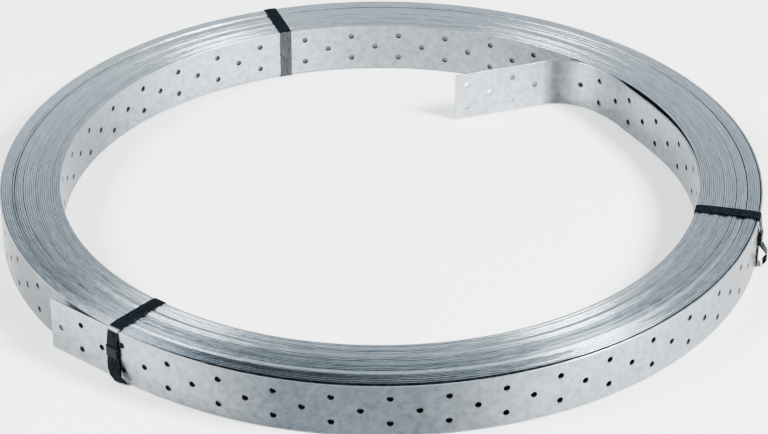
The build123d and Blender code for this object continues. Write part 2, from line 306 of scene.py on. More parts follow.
def wander(seed, reach):
    """Random knots, a few to every turn, that stray this far to either side."""
    draw = random.Random(seed)
    count = (WHOLE_TURNS + 1) * KNOTS_PER_TURN
    return [(knot / KNOTS_PER_TURN, draw.uniform(-reach, reach)) for knot in range(count)]


def turn_lift(turns):
    """How far the band stands above the lowest turn, by the turns counted outwards from the bore."""
    lands = np.linspace(0, WHOLE_TURNS + 1, len(TURN_LIFTS))
    steady = smooth_through([(LIFT_FROM, 0.0), *zip(lands, TURN_LIFTS)], turns)
    last = WHOLE_TURNS + 1 + KNOT_MARGIN
    knots = [(-KNOT_MARGIN, 0.0), *wander(LIFT_SEED, LIFT_WANDER), (last, 0.0)]
    return np.clip(steady + smooth_through(knots, turns), 0.0, LIFT_LIMIT) * MM


def edge_lean(turns):
    """How much higher the outer side of the band's cut edge is than its inner side, over its thickness."""
    return smooth_through(EDGE_LEAN, turns) + smooth_through(wander(LEAN_SEED, LEAN_WANDER), turns)


class Winding:
    """The band's middle line, seen from above, with its height, from the outer tip to the inner tip."""

    def __init__(self, band):
        half = band.thickness / 2
        start = OUTER_LEAVE - 360 * WHOLE_TURNS
        angles = np.arange(start, BEND_ANGLE + PATH_STEP / 2, PATH_STEP)
        turns = (INNER_TIGHT_END - angles) / 360
        total = OUTER_RADIUS - INNER_RADIUS - band.thickness
        most = WHOLE_TURNS + (INNER_TIGHT_END - LOOSE_TURN_END) / 360
        wide = sum(extra for _, extra in WIDE_GAPS) * MM
        pitch = (total - wide) / most
        radius = INNER_RADIUS + half + pitch * turns
        for place, extra in WIDE_GAPS:
            step = ((place - WIDE_GAP_RUN, 0.0), (place + WIDE_GAP_RUN, extra * MM))
            radius = radius + smooth_through(step, turns)
        first = angles + 360 * WHOLE_TURNS
        radius = np.where(first < LOOSE_TURN_END, OUTER_RADIUS - half, radius)
        for number, share in enumerate(BULGE_SHARES):
            radius = radius + share * smooth_through(LOOSE_TURN, first - 360 * number) * MM
        loose = smooth_through(INNER_LOOSE, angles) * MM
        radius = np.where(angles > INNER_TIGHT_END, INNER_RADIUS + half - loose, radius)
        wound = polar(radius, angles)

        leave = polar(OUTER_RADIUS - half, OUTER_LEAVE)
        back = polar(1.0, OUTER_LEAVE - 90)
        runs = np.arange(OUTER_STRAIGHT, 0.0, -MM)
        outer_end = leave[:, None] + back[:, None] * runs
        centre = polar(radius[-1] - BEND_RADIUS, BEND_ANGLE)
        bends = np.arange(BEND_ANGLE + 2 * PATH_STEP, BEND_END, 2 * PATH_STEP)
        bend = centre[:, None] + polar(BEND_RADIUS, bends)
        runs = np.append(np.arange(0.0, INNER_STRAIGHT, MM), INNER_STRAIGHT)
        inner_end = (centre + [0.0, BEND_RADIUS])[:, None] - np.array([1.0, 0.0])[:, None] * runs

        self.plan = np.hstack([outer_end, wound, bend, inner_end])
        steps = np.hypot(*np.diff(self.plan))
        self.run = np.concatenate([[0.0], np.cumsum(steps)])
        self.length = self.run[-1]
        way = np.gradient(self.plan, self.run, axis=1)
        way /= np.hypot(*way)
        self.out = np.array([way[1], -way[0]])
        inner = np.full(bend.shape[1] + inner_end.shape[1], INNER_END_TURN)
        outer = np.full(outer_end.shape[1], turns[0])
        self.turns = np.concatenate([outer, turns, inner])
        self.angles = angles
        self.angle_run = self.run[outer_end.shape[1]:outer_end.shape[1] + len(angles)]
        self.height = frame_floor() + turn_lift(self.turns) + band.width / 2
        way_round = np.degrees(np.arctan2(self.plan[1], self.plan[0]))
        share = smooth_through([(SWING_FROM, 0.0), (SWING_FULL, 1.0)], self.turns)
        self.lean = edge_lean(self.turns) + share * smooth_through(LEAN_SWING, way_round)
        # painted shade on the cut edges, by turn and by angle round the coil
        self.edge_painted_shade = sum(smooth_through(by_turn, self.turns) * smooth_through(by_way, way_round)
                               for by_turn, by_way in EDGE_PAINTED_SHADE)
        self.top = band.width / 2 - band.edge_round * EDGE_MARGIN

    def at_angle(self, angle):
        """How far along the band an unwound angle is."""
        return np.interp(angle, self.angles, self.angle_run)

    def place(self, run, across, up):
        """Points of the band, by how far along, across and up it they are."""
        x = np.interp(run, self.run, self.plan[0]) + across * np.interp(run, self.run, self.out[0])
        y = np.interp(run, self.run, self.plan[1]) + across * np.interp(run, self.run, self.out[1])
        lean = np.where(up > self.top, across * np.interp(run, self.run, self.lean), 0.0)
        z = np.interp(run, self.run, self.height) + up + lean
        return np.array([x + AXIS_X, y + AXIS_Y, z]).T


def frame_floor():
    """Height of the lowest turn's underside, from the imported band."""
    low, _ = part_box("steel_band")
    return low.z


def outer_columns(winding):
    """The hole columns from the outer tip until the band is covered, as (run, pair)."""
    last = winding.at_angle(OUTER_LEAVE - 360 * (WHOLE_TURNS - 1) + OUTER_COVERED)
    count = int(last / HOLE_PITCH)
    return [((index + 0.5) * HOLE_PITCH, index % 2 == 1) for index in range(count)]


def inner_columns(winding):
    """The hole columns on the bore's wall and the free inner end, as (run, pair), along the band."""
    loose = winding.at_angle(INNER_TIGHT_END)
    end = [(winding.length - (index + 0.5) * HOLE_PITCH, index % 2 == 0)
           for index in range(int((winding.length - loose) / HOLE_PITCH + 0.5))]
    back = winding.at_angle(BACK_COLUMN - 360)
    before = int((back - winding.at_angle(WALL_COLUMNS_START)) / HOLE_PITCH)
    after = int((winding.at_angle(SPREAD_FROM) - back) / HOLE_PITCH)
    wall = [(back + index * HOLE_PITCH, index % 2 == 0) for index in range(-before, after + 1)]
    spaces = round((end[-1][0] - wall[-1][0]) / HOLE_PITCH)
    spaces += (spaces + wall[-1][1] - end[-1][1]) % 2
    gap = (end[-1][0] - wall[-1][0]) / spaces
    spread = [(wall[-1][0] + index * gap, (index % 2 == 0) == wall[-1][1]) for index in range(1, spaces)]
    return wall + spread + end[::-1]


class Strip:
    """Gathers the band's corners, as (along, across, up), and its faces."""

    def __init__(self, band):
        self.corners = []
        self.faces = []
        self.hole_walls = []
        self.band = band
        half = band.width / 2 - band.edge_round
        steps = int(HOLE_ROW_OFFSET / HOLE_GRID) + SQUARE
        rows = [number * HOLE_GRID for number in range(-steps, steps + 1)]
        self.rows = [-half, *rows, half]
        self.full = self.section(self.rows)
        self.plain = self.section([-half, half])
        last = len(self.rows) - 1
        size = len(self.full)
        self.main = [0, *range(last, last + 6), *range(size - 5, size)]
        # the inner side's rows run in reverse, so row r is at this number less r
        self.mirror = 2 * len(self.rows) + 3

    def section(self, heights):
        """The band's rounded section as (across, up) points, going round it."""
        side, edge, half = self.band.thickness / 2, self.band.edge_round, self.band.width / 2
        slant = edge * (1 - math.sqrt(0.5))
        top = [(side - slant, half - slant), (side - edge, half)]
        corner = top + [(-across, up) for across, up in reversed(top)]
        low = [(-across, -up) for across, up in corner]
        return ([(side, up) for up in heights] + corner
                + [(-side, up) for up in reversed(heights)] + low)

    def corner(self, run, across, up):
        """Add one corner and give its number."""
        self.corners.append((run, across, up))
        return len(self.corners) - 1

    def ring(self, run, section):
        """Add a ring of corners round the band."""
        return [self.corner(run, across, up) for across, up in section]

    def span(self, first, second, skip=()):
        """Join two like rings with faces, except the sides in skip."""
        size = len(first)
        for index in range(size):
            if index not in skip:
                after = (index + 1) % size
                self.faces.append((first[index], first[after], second[after], second[index]))

    def change(self, full, plain):
        """Join a ring that has the holes' rows with one that hasn't."""
        for index, start in enumerate(self.main):
            after = (index + 1) % len(self.main)
            stop = self.main[after] or len(full)
            side = [full[number % len(full)] for number in range(start, stop + 1)]
            self.faces.append((*side, plain[after], plain[index]))

    def row_sides(self, middle_row):
        """The sides of both faces that a hole's square takes up, as indexes of the ring."""
        outer = range(middle_row - SQUARE, middle_row + SQUARE)
        return [*outer, *(self.mirror - 1 - row for row in outer)]

    def hole(self, rings, middle_row, run):
        """Cut one hole through both faces, in the square of the grid round it."""
        up = self.rows[middle_row]
        circles = []
        for side in (1, -1):
            across = side * self.band.thickness / 2
            circle, square = [], []
            for number in range(HOLE_SIDES):
                turn = 2 * math.pi * number / HOLE_SIDES
                circle.append(self.corner(run + HOLE_RADIUS * math.cos(turn), across,
                                          up + HOLE_RADIUS * math.sin(turn)))
                row = middle_row + square_step(number - 2 * SQUARE)
                square.append(rings[SQUARE + square_step(number)][row if side > 0 else self.mirror - row])
            circles.append(circle)
            self.faces += loop_faces(square, circle)
        self.hole_walls += range(len(self.faces), len(self.faces) + HOLE_SIDES)
        self.faces += loop_faces(*circles)

    def perforated(self, columns, start, stop):
        """Add a stretch with holes, and give its first and last rings."""
        runs = [run for run, _ in columns]
        ends = [start, *((a + b) / 2 for a, b in zip(runs, runs[1:])), stop]
        first = last = self.ring(start, self.full)
        for (run, pair), end in zip(columns, ends[1:]):
            rings = [self.ring(run + step * HOLE_GRID, self.full) for step in range(-SQUARE, SQUARE + 1)]
            centre = len(self.rows) // 2
            offset = int(HOLE_ROW_OFFSET / HOLE_GRID)
            middles = (centre - offset, centre + offset) if pair else (centre,)
            skip = {side for middle in middles for side in self.row_sides(middle)}
            self.span(last, rings[0])
            for before, after in zip(rings, rings[1:]):
                self.span(before, after, skip)
            for middle in middles:
                self.hole(rings, middle, run)
            last = self.ring(end, self.full)
            self.span(rings[-1], last)
        return first, last


def loop_faces(first, second):
    """Faces between two closed loops of point numbers."""
    count = len(first)
    return [(first[number], first[(number + 1) % count], second[(number + 1) % count], second[number])
            for number in range(count)]


def square_step(number):
    """Where a hole's square is, in grid steps from its middle, going round it."""
    return max(-SQUARE, min(SQUARE, abs(number % HOLE_SIDES - HOLE_SIDES // 2) - 2 * SQUARE))


def finished(name, corners, faces, material, body=ROOT_BODY):
    """Make a closed, smooth-shaded piece from corners and faces, riding on the coil."""
    mesh = bpy.data.meshes.new(name)
    mesh.from_pydata([tuple(corner) for corner in corners], [], faces)
    shape = bmesh.new()
    shape.from_mesh(mesh)
    loose = [vertex for vertex in shape.verts if not vertex.link_faces]
    bmesh.ops.delete(shape, geom=loose, context="VERTS")
    bmesh.ops.recalc_face_normals(shape, faces=shape.faces)
    shape.to_mesh(mesh)
    shape.free()
    mesh.shade_smooth()
    mesh.set_sharp_from_angle(angle=math.radians(SHARP_ANGLE))
    mesh.materials.append(material)
    piece = bpy.data.objects.new(name, mesh)
    bpy.context.scene.collection.objects.link(piece)
    weigh = piece.modifiers.new("even_shading", "WEIGHTED_NORMAL")
    weigh.keep_sharp = True
    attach(piece, body)
    return piece


def wind_band(band):
    """Wind the whole band, with the real holes wherever they show."""
    winding = Winding(band)
    strip = Strip(band)
    outer = outer_columns(winding)
    inner = inner_columns(winding)
    outer_stop = outer[-1][0] + HOLE_PITCH / 2
    inner_start = inner[0][0] - HOLE_PITCH / 2
    outer_tip, outer_last = strip.perforated(outer, 0.0, outer_stop)
    inner_first, inner_tip = strip.perforated(inner, inner_start, winding.length)
    angles = np.arange(winding.angles[0] // PLAIN_STEP * PLAIN_STEP, 0.0, PLAIN_STEP)
    runs = winding.at_angle(angles)
    margin = HOLE_PITCH / 4
    runs = runs[(runs > outer_stop + margin) & (runs < inner_start - margin)]
    rings = [strip.ring(run, strip.plain) for run in runs]
    strip.change(outer_last, rings[0])
    for first, second in zip(rings, rings[1:]):
        strip.span(first, second)
    strip.change(inner_first, rings[-1])
    strip.faces += [tuple(outer_tip), tuple(inner_tip)]
    along = np.array(strip.corners)
    # painted shade: on the faces by place along the band, then on the covered turns seen through the holes,
    outside = smooth_through(OUTSIDE_PAINTED_SHADE, along[:, 0])
    # and last on the cut edges
    inside = smooth_through(INSIDE_PAINTED_SHADE, winding.length - along[:, 0])
    painted_shade = np.where(np.arange(len(along)) < inner_first[0], outside, inside)
    covered = slice(rings[0][0], rings[-1][-1] + 1)
    painted_shade[covered] = np.interp(along[covered, 0], (0.0, winding.length), COVERED_PAINTED_SHADE)
    edge = np.abs(along[:, 2]) > band.width / 2 - band.edge_round / 2
    painted_shade[edge] = np.interp(along[edge, 0], winding.run, winding.edge_painted_shade)
    return strip, along, painted_shade, winding.place(*along.T)


def turns_at(winding, angle, band):
    """Each turn's middle radius, top height and lean at this angle, from the bore outwards."""
    last = winding.angles[-1]
    first = angle - 360 * math.ceil((angle - last) / 360)
    run = winding.at_angle(np.arange(first, winding.angles[0] - ANGLE_MARGIN, -360))
    radius = np.hypot(*(np.interp(run, winding.run, line) for line in winding.plan))
    top = np.interp(run, winding.run, winding.height) + band.width / 2
    return radius, top, np.interp(run, winding.run, winding.lean)


def upper_hull(points):
    """The points that a cord pulled tight over all of them would touch, from the first to the last."""
    hull = []
    for point in points:
        while len(hull) > 1:
            (ax, ay), (bx, by) = hull[-2:]
            if (bx - ax) * (point[1] - ay) < (by - ay) * (point[0] - ax):
                break
            hull.pop()
        hull.append(point)
    return hull


def smooth_top(hull):
    """The hull as a stiff strap follows it: evenly spaced points with no kinks, nowhere below the hull."""
    where, heights = np.array(hull).T
    spaces = max(2, round((where[-1] - where[0]) / STRAP_TOP_STEP))
    places = np.linspace(where[0], where[-1], spaces + 1)
    tight = np.interp(places, where, heights)
    half = STRAP_TOP_SOFTNESS // 2
    padded = np.concatenate([np.full(half, tight[0]), tight, np.full(half, tight[-1])])
    soft = np.convolve(padded, np.full(STRAP_TOP_SOFTNESS, 1 / STRAP_TOP_SOFTNESS), "valid")
    return list(zip(places[::2], (soft + max(tight - soft))[::2]))


def rounded(points):
    """Round a line's sharp corners with short bends."""
    line = [points[0]]
    for before, corner, after in zip(points, points[1:], points[2:]):
        before, corner, after = (np.array(point) for point in (before, corner, after))
        first = before - corner
        second = after - corner
        straight = -first @ second / np.linalg.norm(first) / np.linalg.norm(second)
        if straight > math.cos(math.radians(STRAP_SLACK_ANGLE)):
            line.append(corner)
            continue
        near = min(STRAP_CORNER, np.linalg.norm(first) * STRAP_CORNER_SHARE)
        far = min(STRAP_CORNER, np.linalg.norm(second) * STRAP_CORNER_SHARE)
        start = corner + first * near / np.linalg.norm(first)
        stop = corner + second * far / np.linalg.norm(second)
        for number in range(STRAP_CORNER_STEPS + 1):
            part = number / STRAP_CORNER_STEPS
            line.append(start * (1 - part) ** 2 + corner * 2 * part * (1 - part) + stop * part ** 2)
    return line + [points[-1]]


def strap_line(winding, place, band, strap):
    """The strap's middle line from its tail's tip to its hidden end, and how much lighter bare steel shows
    there: wear, with a painted glint at the outer top bend and a painted lit face on the layer under the
    tail.

    The line's rows are (radius, sideways, height, twist)."""
    radius, top, lean = turns_at(winding, place.angle, band)
    half = strap.thickness / 2
    inside = radius[0] - band.thickness / 2 - STRAP_CLEAR - half
    outside = radius[-1] + band.thickness / 2 + STRAP_CLEAR + half
    over = [(turn + across, height + across * slope) for turn, height, slope in zip(radius, top, lean)
            for across in (-band.thickness / 2, band.thickness / 2)]
    hull = smooth_top([(x, z + STRAP_CLEAR + half) for x, z in upper_hull(over)])
    strap_top = hull[-1][1]
    under_seal = outside - STRAP_CLEAR + SEAL_STAND_OFF
    over_seal = under_seal + strap.thickness
    seal_top = SEAL_BOTTOM + strap.seal_height

    tail = sorted((SEAL_BOTTOM - drop * MM, out * place.stand_off * MM) for out, drop in TAIL)
    lowest, highest = tail[0][0], tail[-1][0]
    heights = np.linspace(lowest, highest, TAIL_POINTS)
    line = list(zip(over_seal + smooth_through(tail, heights), heights))
    line += rounded([
        (over_seal, SEAL_BOTTOM), (over_seal, seal_top + HIDDEN_END),
        (outside, strap_top - 2 * STRAP_CORNER), (outside, strap_top), *hull[-2:0:-1],
        (inside, hull[0][1]), (inside, half), (outside, half), (outside, SEAL_BOTTOM / 2),
        (under_seal, SEAL_BOTTOM), (under_seal, seal_top + HIDDEN_END),
    ])
    filled = [line[0]]
    for point in line[1:]:
        last = np.array(filled[-1])
        step = np.array(point) - last
        count = max(1, math.ceil(np.linalg.norm(step) / STRAP_FLAT_STEP))
        filled += [tuple(last + step * number / count) for number in range(1, count + 1)]

    rows, rubbed = [], []
    for number, (out, up) in enumerate(filled):
        hanging = max(0.0, (SEAL_BOTTOM - up) / (highest - lowest)) if number < TAIL_POINTS else 0.0
        drift = place.drift * hanging ** TAIL_DRIFT_POWER
        rows.append((out, drift, up, math.radians(place.twist) * hanging))
        # the outer top bend's lighter patch is wear and a painted glint; the layer under the tail gets a
        # painted lit face
        from_bend = math.hypot(out - outside, up - strap_top)
        at_bend = place.bend_rubbed * (1 - from_bend / STRAP_BEND_GLINT_REACH)
        in_bore = place.bore_rubbed if out < inside + half else 0.0
        under_layer = number > len(filled) // 2 and out > outside - half
        rubbed.append(place.under_rubbed if under_layer else max(in_bore, at_bend))
    return rows, rubbed


def crimped(sideways, height):
    """Where a crimp leaves a point that is this far to the side, this far up the seal."""
    depth = sum(math.exp(-((height - middle) / CRIMP_REACH) ** 2) for middle in CRIMP_HEIGHTS)
    reach = min(1.0, max(0.0, (abs(sideways) - CRIMP_FROM) / CRIMP_FROM))
    return sideways - math.copysign(CRIMP_DEPTH * depth * reach, sideways)


def stand(points, angle):
    """Carry (outwards, sideways, up) points to their angle on the coil."""
    outwards, along = polar(1.0, angle), polar(1.0, angle + 90)
    return [(AXIS_X + out * outwards[0] + side * along[0], AXIS_Y + out * outwards[1] + side * along[1], up)
            for out, side, up in points]


def strap_shape(rows, strap):
    """A flat ribbon with rubbed-down edges along a line, as (outwards, sideways, up) points and faces."""
    half, edge, side = strap.thickness / 2, strap.thickness * STRAP_EDGE_SHARE, strap.width / 2
    upper = [(side, half - edge), (side - edge, half), (0.0, half),
             (edge - side, half), (-side, half - edge)]
    section = upper + [(-wide, -thick) for wide, thick in upper]
    line = np.array(rows)
    way = np.gradient(line[:, [0, 2]], axis=0)
    way /= np.linalg.norm(way, axis=1)[:, None]
    seal_top = SEAL_BOTTOM + strap.seal_height
    points = []
    for (out, drift, up, twist), (outwards, upwards) in zip(rows, way):
        for wide, thick in section:
            sideways = wide * math.cos(twist) - thick * math.sin(twist)
            lift = wide * math.sin(twist) + thick * math.cos(twist)
            if SEAL_BOTTOM <= up <= seal_top and out > rows[0][0] - CRIMPED_WALL:
                sideways = crimped(sideways, up - SEAL_BOTTOM)
            points.append((out + upwards * lift, drift + sideways, up - outwards * lift))
    size = len(section)
    rings = [range(start, start + size) for start in range(0, len(points), size)]
    faces = [face for first, second in zip(rings, rings[1:]) for face in loop_faces(first, second)]
    return points, faces + [tuple(rings[0]), tuple(rings[-1])]


def seal_shape(under_seal, strap):
    """The crimped sleeve round both layers of the strap, as (outwards, sideways, up) points and faces."""
    thick = strap.thickness
    inner_low = under_seal - thick / 2 - SEAL_CLEAR
    inner_high = under_seal + thick * 3 / 2 + SEAL_CLEAR
    wide = strap.width / 2 + SEAL_CLEAR
    outer_corner, inner_corner = (SEAL_WALL * part for part in SEAL_CORNERS)
    points, loops = [], []
    for level in range(SEAL_LEVELS + 1):
        up = strap.seal_height * level / SEAL_LEVELS
        for grow, corner in ((SEAL_WALL, outer_corner), (0.0, inner_corner)):
            box = rounded_box(inner_low - grow, inner_high + grow, wide + grow, corner)
            loops.append(range(len(points), len(points) + len(box)))
            points += [(out, crimped(side, up), SEAL_BOTTOM + up) for out, side in box]
    faces = [face for first, second in zip(loops, loops[2:]) for face in loop_faces(first, second)]
    return points, faces + loop_faces(loops[0], loops[1]) + loop_faces(loops[-2], loops[-1])


def rounded_box(low, high, half, corner):
    """A rounded rectangle's points, going round it, with extra points along its long sides."""
    line = []
    step = 90 / SEAL_CORNER_STEPS
    for out, side, start in ((high, half, 0), (low, half, 90), (low, -half, 180), (high, -half, 270)):
        middle = (out - math.copysign(corner, out - (low + high) / 2), side - math.copysign(corner, side))
        for number in range(SEAL_CORNER_STEPS + 1):
            turn = math.radians(start + step * number)
            line.append((middle[0] + corner * math.cos(turn), middle[1] + corner * math.sin(turn)))
        if (out == low) == (side > 0):
            reach = side - math.copysign(corner, side)
            line += [(out, reach * part) for part in SEAL_SIDE_PARTS]
    return line


def colour_steel(band, look):
    """Galvanised steel: mottled zinc, faint lines along the band, brighter cut edges, and painted shade in
    broad patches.
    """
    material, tree, shader = new_material("galvanised_band_and_painted_shade")
    place = attribute(tree, "band_place").outputs["Vector"]
    spangle = noise(tree, place, SPANGLE).outputs["Fac"]
    flakes = tree.nodes.new("ShaderNodeTexVoronoi")
    flakes.inputs["Scale"].default_value = FLAKE_SCALE
    tree.links.new(place, flakes.inputs["Vector"])
    lines = noise(tree, place, BAND_LINES).outputs["Fac"]
    tone = ramp(tree, spangle, ZINC_TONES, (look.zinc_dark, look.zinc_light))
    parts = tree.nodes.new("ShaderNodeSeparateColor")
    tree.links.new(flakes.outputs["Color"], parts.inputs["Color"])
    flake_tone = blend(tree, FLAKE_SHARE, tone, parts.outputs["Red"], "SOFT_LIGHT")
    split = tree.nodes.new("ShaderNodeSeparateXYZ")
    tree.links.new(place, split.inputs["Vector"])
    height = maths(tree, "ABSOLUTE", split.outputs["Z"])
    starts, full = (band.width / 2 - below for below in EDGE_FINISH)
    edge = spread(tree, height, (starts, full), WHOLE)
    edge_tone = ramp(tree, lines, EDGE_TONES, (look.edge_dark, look.edge_light))
    # painted shade: the colour is multiplied down where the mesh's shade attribute is high
    painted_shade = attribute(tree, "painted_shade").outputs["Fac"]
    kept = ramp(tree, painted_shade, WHOLE, (WHITE, look.zinc_painted_shade))
    colour = blend(tree, edge, flake_tone, edge_tone)
    tree.links.new(blend(tree, 1.0, colour, kept, "MULTIPLY"), shader.inputs["Base Color"])
    shader.inputs["Metallic"].default_value = 1.0
    face_rough = spread(tree, spangle, ROUGHNESS_TONES, FACE_ROUGHNESS)
    edge_rough = spread(tree, lines, ROUGHNESS_TONES, EDGE_ROUGHNESS)
    tree.links.new(blend(tree, edge, face_rough, edge_rough), shader.inputs["Roughness"])
    bump(tree, shader, lines, BAND_BUMPS)
    return material


def colour_hole_walls(look):
    """The punched walls of the holes: torn steel, darkened as painted shade inside the holes."""
    material, tree, shader = new_material("punched_hole_and_painted_shade")
    torn = noise(tree, object_place(tree), TORN_STEEL).outputs["Fac"]
    tree.links.new(ramp(tree, torn, HOLE_TONES, (look.hole, look.hole_light)), shader.inputs["Base Color"])
    shader.inputs["Metallic"].default_value = HOLE_METALLIC
    shader.inputs["Roughness"].default_value = HOLE_ROUGHNESS
    bump(tree, shader, torn, HOLE_BUMPS)
    return material


def colour_strap(look):
    """Black lacquered strap, scuffed all over and rubbed bare here and there, with lighter bare steel
    painted in as a glint at a bend and a lit face under a tail.
    """
    material, tree, shader = new_material("black_strap_and_painted_glint")
    place = object_place(tree)
    scuffs = noise(tree, place, STRAP_SCUFFS)
    patches = noise(tree, place, STRAP_PATCHES).outputs["Fac"]
    tone = ramp(tree, scuffs.outputs["Fac"], STRAP_TONES, (look.strap, look.strap_scuff))
    # wear, plus a painted glint at the front strap's bend and a painted lit face under its tail
    rub = attribute(tree, "rub").outputs["Color"]
    uneven = blend(tree, RUB_UNEVENNESS, rub, scuffs.outputs["Color"], "OVERLAY")
    bare = spread(tree, uneven, RUB_TONES, WHOLE)
    bare_and_glint_colour = ramp(tree, bare, WHOLE, (look.strap_worn_and_lit, look.strap_worn_and_lit))
    tree.links.new(blend(tree, bare, tone, bare_and_glint_colour), shader.inputs["Base Color"])
    tree.links.new(bare, shader.inputs["Metallic"])
    tree.links.new(spread(tree, patches, ROUGHNESS_TONES, STRAP_ROUGHNESS), shader.inputs["Roughness"])
    shader.inputs["Specular IOR Level"].default_value = STRAP_GLOSS
    bump(tree, shader, scuffs.outputs["Fac"], STRAP_BUMPS)
    return material


def colour_seal(look):
    """Dark crimped steel, scratched from top to bottom."""
    material, tree, shader = new_material("strap_seal_finish")
    scratches = noise(tree, object_place(tree), SEAL_SCRATCHES).outputs["Fac"]
    tone = ramp(tree, scratches, SEAL_TONES, (look.seal_dark, look.seal_light))
    tree.links.new(tone, shader.inputs["Base Color"])
    tree.links.new(spread(tree, scratches, ROUGHNESS_TONES, SEAL_ROUGHNESS), shader.inputs["Roughness"])
    shader.inputs["Specular IOR Level"].default_value = SEAL_GLOSS
    bump(tree, shader, scratches, SEAL_BUMPS)
    return material


def colour_floor(look):
    """A pale, matt floor with the faintest unevenness."""
    material, tree, shader = new_material("pale_floor_finish")
    cloud = noise(tree, object_place(tree), FLOOR_CLOUD).outputs["Fac"]
    shade = [part * FLOOR_SHADE for part in look.floor]
    tree.links.new(ramp(tree, cloud, FLOOR_TONES, (shade, look.floor)), shader.inputs["Base Color"])
    shader.inputs["Roughness"].default_value = FLOOR_ROUGHNESS
    shader.inputs["Specular IOR Level"].default_value = FLOOR_GLOSS
    return material


def new_material(name):
    """An empty node material with its shader."""
    material = bpy.data.materials.new(name)
    material.use_nodes = True
    tree = material.node_tree
    return material, tree, tree.nodes["Principled BSDF"]


def object_place(tree):
    """The place on the piece, in metres."""
    return tree.nodes.new("ShaderNodeTexCoord").outputs["Object"]


def attribute(tree, name):
    """What the mesh's points carry under this name."""
    node = tree.nodes.new("ShaderNodeAttribute")
    node.attribute_name = name
    return node


def noise(tree, place, grain):
    """Cloudy noise at a place, stretched along some axes."""
    scaled = tree.nodes.new("ShaderNodeVectorMath")
    scaled.operation = "MULTIPLY"
    scaled.inputs[1].default_value = grain.stretch
    tree.links.new(place, scaled.inputs[0])
    cloud = tree.nodes.new("ShaderNodeTexNoise")
    cloud.inputs["Scale"].default_value = grain.scale
    cloud.inputs["Detail"].default_value = grain.detail
    cloud.inputs["Roughness"].default_value = grain.rough
    tree.links.new(scaled.outputs["Vector"], cloud.inputs["Vector"])
    return cloud


def ramp(tree, value, places, colours):
    """Turn a value into a colour, by the colours at some of its places."""
    node = tree.nodes.new("ShaderNodeValToRGB")
    while len(node.color_ramp.elements) < len(places):
        node.color_ramp.elements.new(1.0)
    for element, place, colour in zip(node.color_ramp.elements, places, colours):
        element.position = place
        element.color = (*colour, 1.0)
    tree.links.new(value, node.inputs["Fac"])
    return node.outputs["Color"]


def blend(tree, share, first, second, kind="MIX"):
    """Mix two colours by a fixed or a linked share."""
    node = tree.nodes.new("ShaderNodeMix")
    node.data_type = "RGBA"
    node.blend_type = kind
    if isinstance(share, float):
        node.inputs["Factor"].default_value = share
    else:
        tree.links.new(share, node.inputs["Factor"])
    tree.links.new(first, node.inputs["A"])
    tree.links.new(second, node.inputs["B"])
    return node.outputs["Result"]


def maths(tree, kind, value):
    """One step of arithmetic on a value."""
    node = tree.nodes.new("ShaderNodeMath")
    node.operation = kind
    tree.links.new(value, node.inputs[0])
    return node.outputs["Value"]


def spread(tree, value, span, ends):
    """Map a span of a value to a new one, held at both ends."""
    node = tree.nodes.new("ShaderNodeMapRange")
    for name, number in zip(("From Min", "From Max", "To Min", "To Max"), (*span, *ends)):
        node.inputs[name].default_value = number
    tree.links.new(value, node.inputs["Value"])
    return node.outputs["Result"]


def bump(tree, shader, height, bumps):
    """Raise the surface by a height."""
    node = tree.nodes.new("ShaderNodeBump")
    node.inputs["Strength"].default_value, node.inputs["Distance"].default_value = bumps
    tree.links.new(height, node.inputs["Height"])
    tree.links.new(node.outputs["Normal"], shader.inputs["Normal"])


def light_studio(scene):
    """A soft studio: lamps at the sides, and walls that are darkest to the camera's left and low down."""
    world = bpy.data.worlds.new("studio")
    scene.world = world
    world.use_nodes = True
    tree = world.node_tree
    place = tree.nodes.new("ShaderNodeTexCoord")
    facing = tree.nodes.new("ShaderNodeVectorMath")
    facing.operation = "DOT_PRODUCT"
    facing.inputs[1].default_value = (*polar(1.0, WALLS_DARK_SIDE), 0.0)
    tree.links.new(place.outputs["Generated"], facing.inputs[0])
    towards = spread(tree, facing.outputs["Value"], (-1.0, 1.0), WHOLE)
    walls = ramp(tree, towards, WALLS_TURNS, (WALLS_RIGHT, WALLS_BACK, WALLS_FRONT))
    split = tree.nodes.new("ShaderNodeSeparateXYZ")
    tree.links.new(place.outputs["Generated"], split.inputs["Vector"])
    height = ramp(tree, split.outputs["Z"], WALLS_HEIGHTS, (WALLS_LOW, WALLS_MIDDLE, WALLS_HIGH))
    background = tree.nodes["Background"]
    tree.links.new(blend(tree, 1.0, walls, height, "MULTIPLY"), background.inputs["Color"])
    background.inputs["Strength"].default_value = WALLS_STRENGTH
    for name, lamp in LAMPS.items():
        height = math.radians(lamp.height)
        plan = polar(lamp.distance * math.cos(height), lamp.turn)
        spot = Vector((*plan, lamp.distance * math.sin(height)))
        data = bpy.data.lights.new(name, "AREA")
        data.size = lamp.size
        data.energy = lamp.power
        light = bpy.data.objects.new(name, data)
        light.location = spot
        light.rotation_euler = (-spot).to_track_quat("-Z", "Y").to_euler()
        scene.collection.objects.link(light)


class CoilBandSizes(bpy.types.PropertyGroup):
    """The band's own section."""
    width: bpy.props.FloatProperty(
        name="Band width", description="How wide the band is, upright on the coil",
        default=0.040, min=0.005, unit="LENGTH")
    thickness: bpy.props.FloatProperty(
        name="Band thickness", description="How thick the band is",
        default=0.0015, min=0.0004, unit="LENGTH")
    edge_round: bpy.props.FloatProperty(
        name="Edge rounding", description="Radius of the band's rounded edges",
        default=0.00035, min=0.00005, unit="LENGTH")


class StrapSizes(bpy.types.PropertyGroup):
    """The straps and their seals."""
    width: bpy.props.FloatProperty(
        name="Strap width", description="How wide each strap is",
        default=0.010, min=0.003, unit="LENGTH")
    thickness: bpy.props.FloatProperty(
        name="Strap thickness", description="How thick each strap is",
        default=0.0007, min=0.0002, unit="LENGTH")
    seal_height: bpy.props.FloatProperty(
        name="Seal height", description="How long each seal is, upright on the coil",
        default=0.008, min=0.003, unit="LENGTH")


